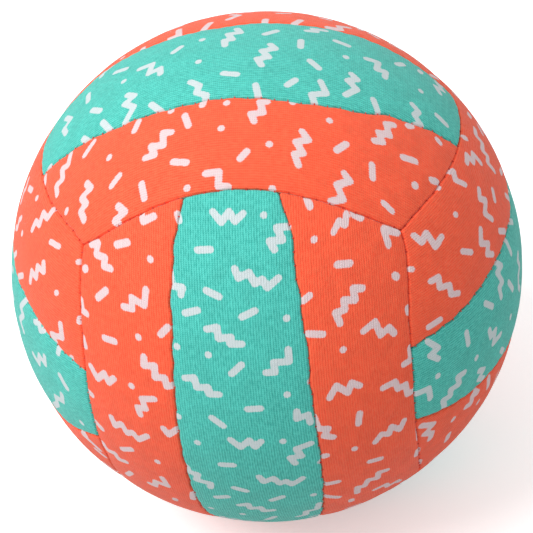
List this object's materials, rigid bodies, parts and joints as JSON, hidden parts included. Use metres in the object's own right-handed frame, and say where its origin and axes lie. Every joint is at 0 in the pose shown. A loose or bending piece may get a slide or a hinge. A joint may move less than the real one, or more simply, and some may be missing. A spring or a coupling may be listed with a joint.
{
  "type": "volleyball",
  "caption": "Soft knit-faced volleyball with strip panels in orange and teal, pale confetti print, red seam stitches, a bladder and a needle valve.",
  "frame": {"origin": "centre of the ball", "axes": "+Z out of the middle of the top face, whose strips run along X; -Y out of the front face, whose strips run along Z; +Y out of the back face, along the valve's axis"},
  "size_m": [0.21, 0.2099, 0.21],
  "materials": {
    "orange_cover": "ribbed knit, printed",
    "teal_cover": "ribbed knit, printed",
    "thread": "polyester thread",
    "bladder_rubber": "matt",
    "valve_rubber": "matt",
    "patch_cloth": "plain weave"
  },
  "bodies": {
    "root": {"top_front_panel": "orange_cover", "top_middle_panel": "teal_cover", "top_back_panel": "orange_cover", "right_lower_panel": "orange_cover", "right_middle_panel": "teal_cover", "right_upper_panel": "orange_cover", "back_left_panel": "orange_cover", "back_middle_panel": "teal_cover", "back_right_panel": "orange_cover", "bottom_back_panel": "orange_cover", "bottom_middle_panel": "teal_cover", "bottom_front_panel": "orange_cover", "left_upper_panel": "orange_cover", "left_middle_panel": "teal_cover", "left_lower_panel": "orange_cover", "front_right_panel": "orange_cover", "front_middle_panel": "teal_cover", "front_left_panel": "orange_cover", "top_to_left_stitches": "thread", "top_to_right_stitches": "thread", "right_to_front_stitches": "thread", "right_to_back_stitches": "thread", "back_to_bottom_stitches": "thread", "back_to_top_stitches": "thread", "bottom_to_left_stitches": "thread", "bottom_to_right_stitches": "thread", "left_to_front_stitches": "thread", "left_to_back_stitches": "thread", "front_to_bottom_stitches": "thread", "front_to_top_stitches": "thread", "top_front_strip_stitches": "thread", "top_back_strip_stitches": "thread", "right_lower_strip_stitches": "thread", "right_upper_strip_stitches": "thread", "back_left_strip_stitches": "thread", "back_right_strip_stitches": "thread", "bottom_back_strip_stitches": "thread", "bottom_front_strip_stitches": "thread", "left_upper_strip_stitches": "thread", "left_lower_strip_stitches": "thread", "front_right_strip_stitches": "thread", "front_left_strip_stitches": "thread", "bladder": "bladder_rubber", "valve_body": "valve_rubber", "valve_plug": "valve_rubber", "valve_patch": "patch_cloth"}
  },
  "joints": []
}
